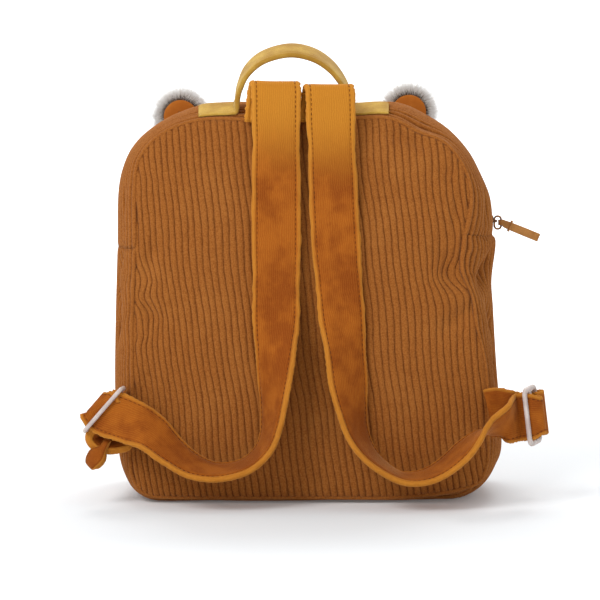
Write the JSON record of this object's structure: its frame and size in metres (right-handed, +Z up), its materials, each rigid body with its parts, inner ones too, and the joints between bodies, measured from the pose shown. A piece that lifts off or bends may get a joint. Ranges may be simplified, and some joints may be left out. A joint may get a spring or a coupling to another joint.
{
  "type": "kids animal backpack",
  "caption": "Small rounded child's backpack in wide-wale corduroy with velvet shoulder straps, a carry handle, an arched zip and furry animal ears.",
  "frame": {"origin": "middle of the flat base where the bag stands on the floor", "axes": "+X to the right as the strap side is seen, +Y from the straps towards the plain front, +Z up"},
  "size_m": [0.331, 0.1669, 0.3236],
  "materials": {
    "corduroy": "wide-wale corduroy, rust tan",
    "velvet": "short-pile velvet, golden orange",
    "mustard_cloth": "fine cord, mustard yellow",
    "fur": "long pile fur, light grey with dark roots",
    "ear_velvet": "short-pile velvet, orange",
    "plastic": "moulded, satin, pale pinkish grey",
    "zip_tape": "woven tape and nylon coil, rust",
    "bronze": "antique bronze",
    "ribbon": "woven tape with a centre stitch, tan"
  },
  "bodies": {
    "root": {"back_panel": "corduroy", "front_panel": "corduroy", "lower_gusset": "corduroy", "zip_gusset_back": "corduroy", "zip_gusset_front": "corduroy", "zip": "zip_tape", "zip_slider": "bronze", "zip_pull_loop": "bronze", "zip_pull_tab": "ribbon", "zip_pull_keeper": "ribbon", "carry_handle": "mustard_cloth", "shoulder_strap_left": "velvet", "adjuster_strap_left": "velvet", "slider_left": "plastic", "shoulder_strap_right": "velvet", "adjuster_strap_right": "velvet", "slider_right": "plastic", "strap_tail_left": "velvet", "ear_fur_left": "fur", "ear_velvet_left": "ear_velvet", "ear_fur_right": "fur", "ear_velvet_right": "ear_velvet"}
  },
  "joints": []
}
